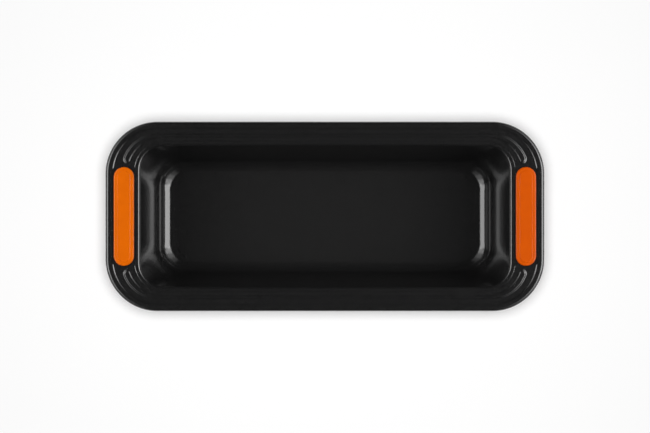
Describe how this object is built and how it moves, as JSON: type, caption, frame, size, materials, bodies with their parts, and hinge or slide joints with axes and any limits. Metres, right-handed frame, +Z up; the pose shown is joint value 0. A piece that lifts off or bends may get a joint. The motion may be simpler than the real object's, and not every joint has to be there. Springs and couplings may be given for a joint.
{
  "type": "loaf tin",
  "caption": "Long loaf tin with drafted walls, a stepped and beaded flange with a wired curled rim, and a soft grip set in each end of the flange.",
  "frame": {"origin": "under the middle of the base, on the surface that the tin stands on", "axes": "+X along the tin, towards the right-hand grip; +Y across it, towards the top of the picture; +Z up, out of the mouth"},
  "size_m": [0.35, 0.1512, 0.0713],
  "materials": {
    "non_stick_coating": "satin black non-stick coating on pressed steel sheet",
    "rim_wire_steel": "plain drawn steel wire",
    "orange_silicone": "smooth matt orange silicone"
  },
  "bodies": {
    "root": {"tin_body": "non_stick_coating", "rim_wire": "rim_wire_steel", "left_grip": "orange_silicone", "right_grip": "orange_silicone"}
  },
  "joints": []
}
